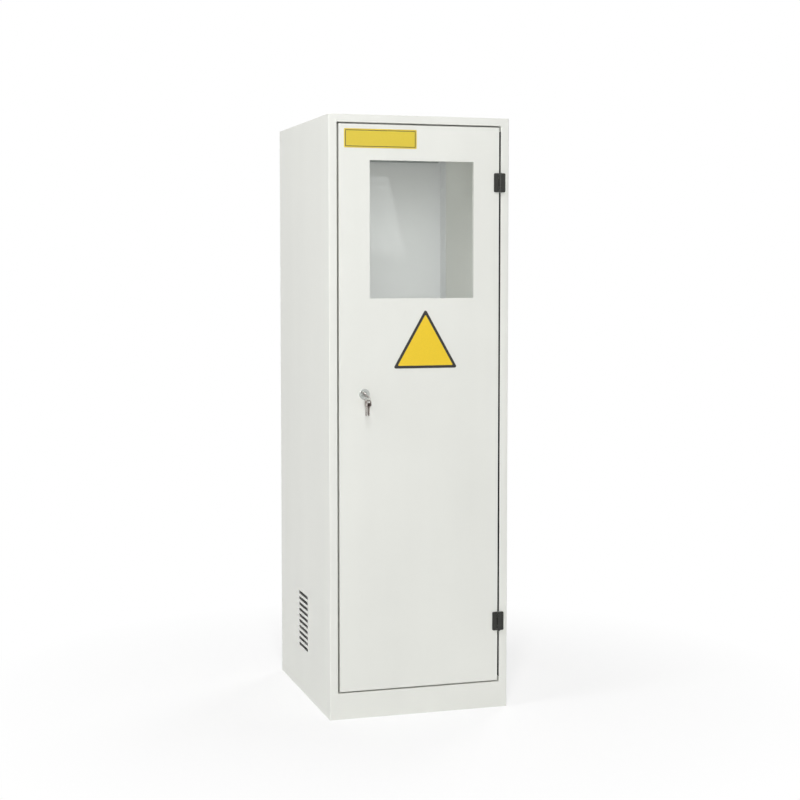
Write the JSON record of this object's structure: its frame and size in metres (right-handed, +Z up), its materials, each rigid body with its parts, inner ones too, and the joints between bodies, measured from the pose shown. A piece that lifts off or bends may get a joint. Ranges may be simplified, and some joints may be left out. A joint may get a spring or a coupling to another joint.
{
  "type": "gas cylinder cabinet",
  "caption": "Tall sheet steel cabinet for gas cylinders, with a hinged glazed door, cam lock with keys, side vents, cylinder cradles and a lifting retaining bar.",
  "frame": {"origin": "bottom centre of the whole object's box at rest, keys included", "axes": "+Z up, front with the door towards -Y, +X to the right as seen from the front"},
  "size_m": [0.6, 0.724, 1.92],
  "materials": {
    "body_paint": "light grey powder coat with a fine orange-peel texture",
    "interior_paint": "light grey powder coat",
    "zinc_steel": "zinc-plated steel",
    "hinge_black": "matt black coated die casting",
    "pin_steel": "plain steel",
    "lock_chrome": "bright chrome",
    "key_nickel": "nickel-plated brass and steel",
    "black_rubber": "matt rubber",
    "window_glass": "clear pane"
  },
  "bodies": {
    "cabinet": {"side_panel_left": "body_paint", "side_panel_right": "body_paint", "back_panel": "interior_paint", "roof_panel": "body_paint", "head_rail": "body_paint", "sill_rail": "body_paint", "floor_deck": "interior_paint", "base_runner_left": "zinc_steel", "base_runner_right": "zinc_steel", "door_seal": "black_rubber", "strike_plate": "zinc_steel", "bar_bracket": "zinc_steel", "bar_fork": "zinc_steel", "bar_pivot_pin": "pin_steel", "cylinder_cradle_lower": "interior_paint", "cylinder_cradle_upper": "interior_paint", "hinge_frame_leaf_upper": "hinge_black", "hinge_frame_leaf_lower": "hinge_black", "hinge_pin_upper": "pin_steel", "hinge_pin_lower": "pin_steel"},
    "retaining_bar": {"retaining_bar": "zinc_steel", "bar_end_cap": "black_rubber"},
    "door": {"door_skin": "body_paint", "window_gasket": "black_rubber", "window_pane": "window_glass", "window_frame": "body_paint", "lock_rosette": "lock_chrome", "lock_barrel": "lock_chrome", "lock_nut": "zinc_steel", "door_stiffener_upper": "interior_paint", "door_stiffener_middle": "interior_paint", "door_stiffener_lower": "interior_paint", "hinge_door_leaf_upper": "hinge_black", "hinge_door_leaf_lower": "hinge_black"},
    "lock": {"lock_plug": "lock_chrome", "lock_cam": "zinc_steel", "cam_screw": "zinc_steel"},
    "key": {"key": "key_nickel"},
    "key_ring": {"key_ring": "key_nickel"},
    "spare_key_left": {"spare_key_left": "key_nickel"},
    "spare_key_right": {"spare_key_right": "key_nickel"}
  },
  "joints": [
    {"name": "door_swing", "type": "hinge", "parent": "cabinet", "child": "door", "pos_m": [0.27, -0.3335, 1], "axis": [0, 0, 1], "range_deg": [0, 170]},
    {"name": "key_turn", "type": "hinge", "parent": "door", "child": "lock", "pos_m": [-0.1853, -0.328, 1.041], "axis": [0, 1, 0], "range_deg": [0, 90]},
    {"name": "key_slide", "type": "slide", "parent": "lock", "child": "key", "axis": [0, -1, 0], "range_m": [0, 0.028]},
    {"name": "ring_swing", "type": "hinge", "parent": "key", "child": "key_ring", "pos_m": [-0.18162, -0.349, 1.03732], "axis": [1, 0, 0], "range_deg": [-60, 8]},
    {"name": "spare_key_left_swing", "type": "hinge", "parent": "key_ring", "child": "spare_key_left", "pos_m": [-0.18504, -0.349, 1.01793], "axis": [1, 0, 0], "range_deg": [-45, 8]},
    {"name": "spare_key_right_swing", "type": "hinge", "parent": "key_ring", "child": "spare_key_right", "pos_m": [-0.17662, -0.349, 1.01866], "axis": [0.9063, 0.4226, 0], "range_deg": [-45, 8]},
    {"name": "bar_lift", "type": "hinge", "parent": "cabinet", "child": "retaining_bar", "pos_m": [0.2695, 0.0955, 1.12], "axis": [0, 1, 0], "range_deg": [0, 90]}
  ]
}
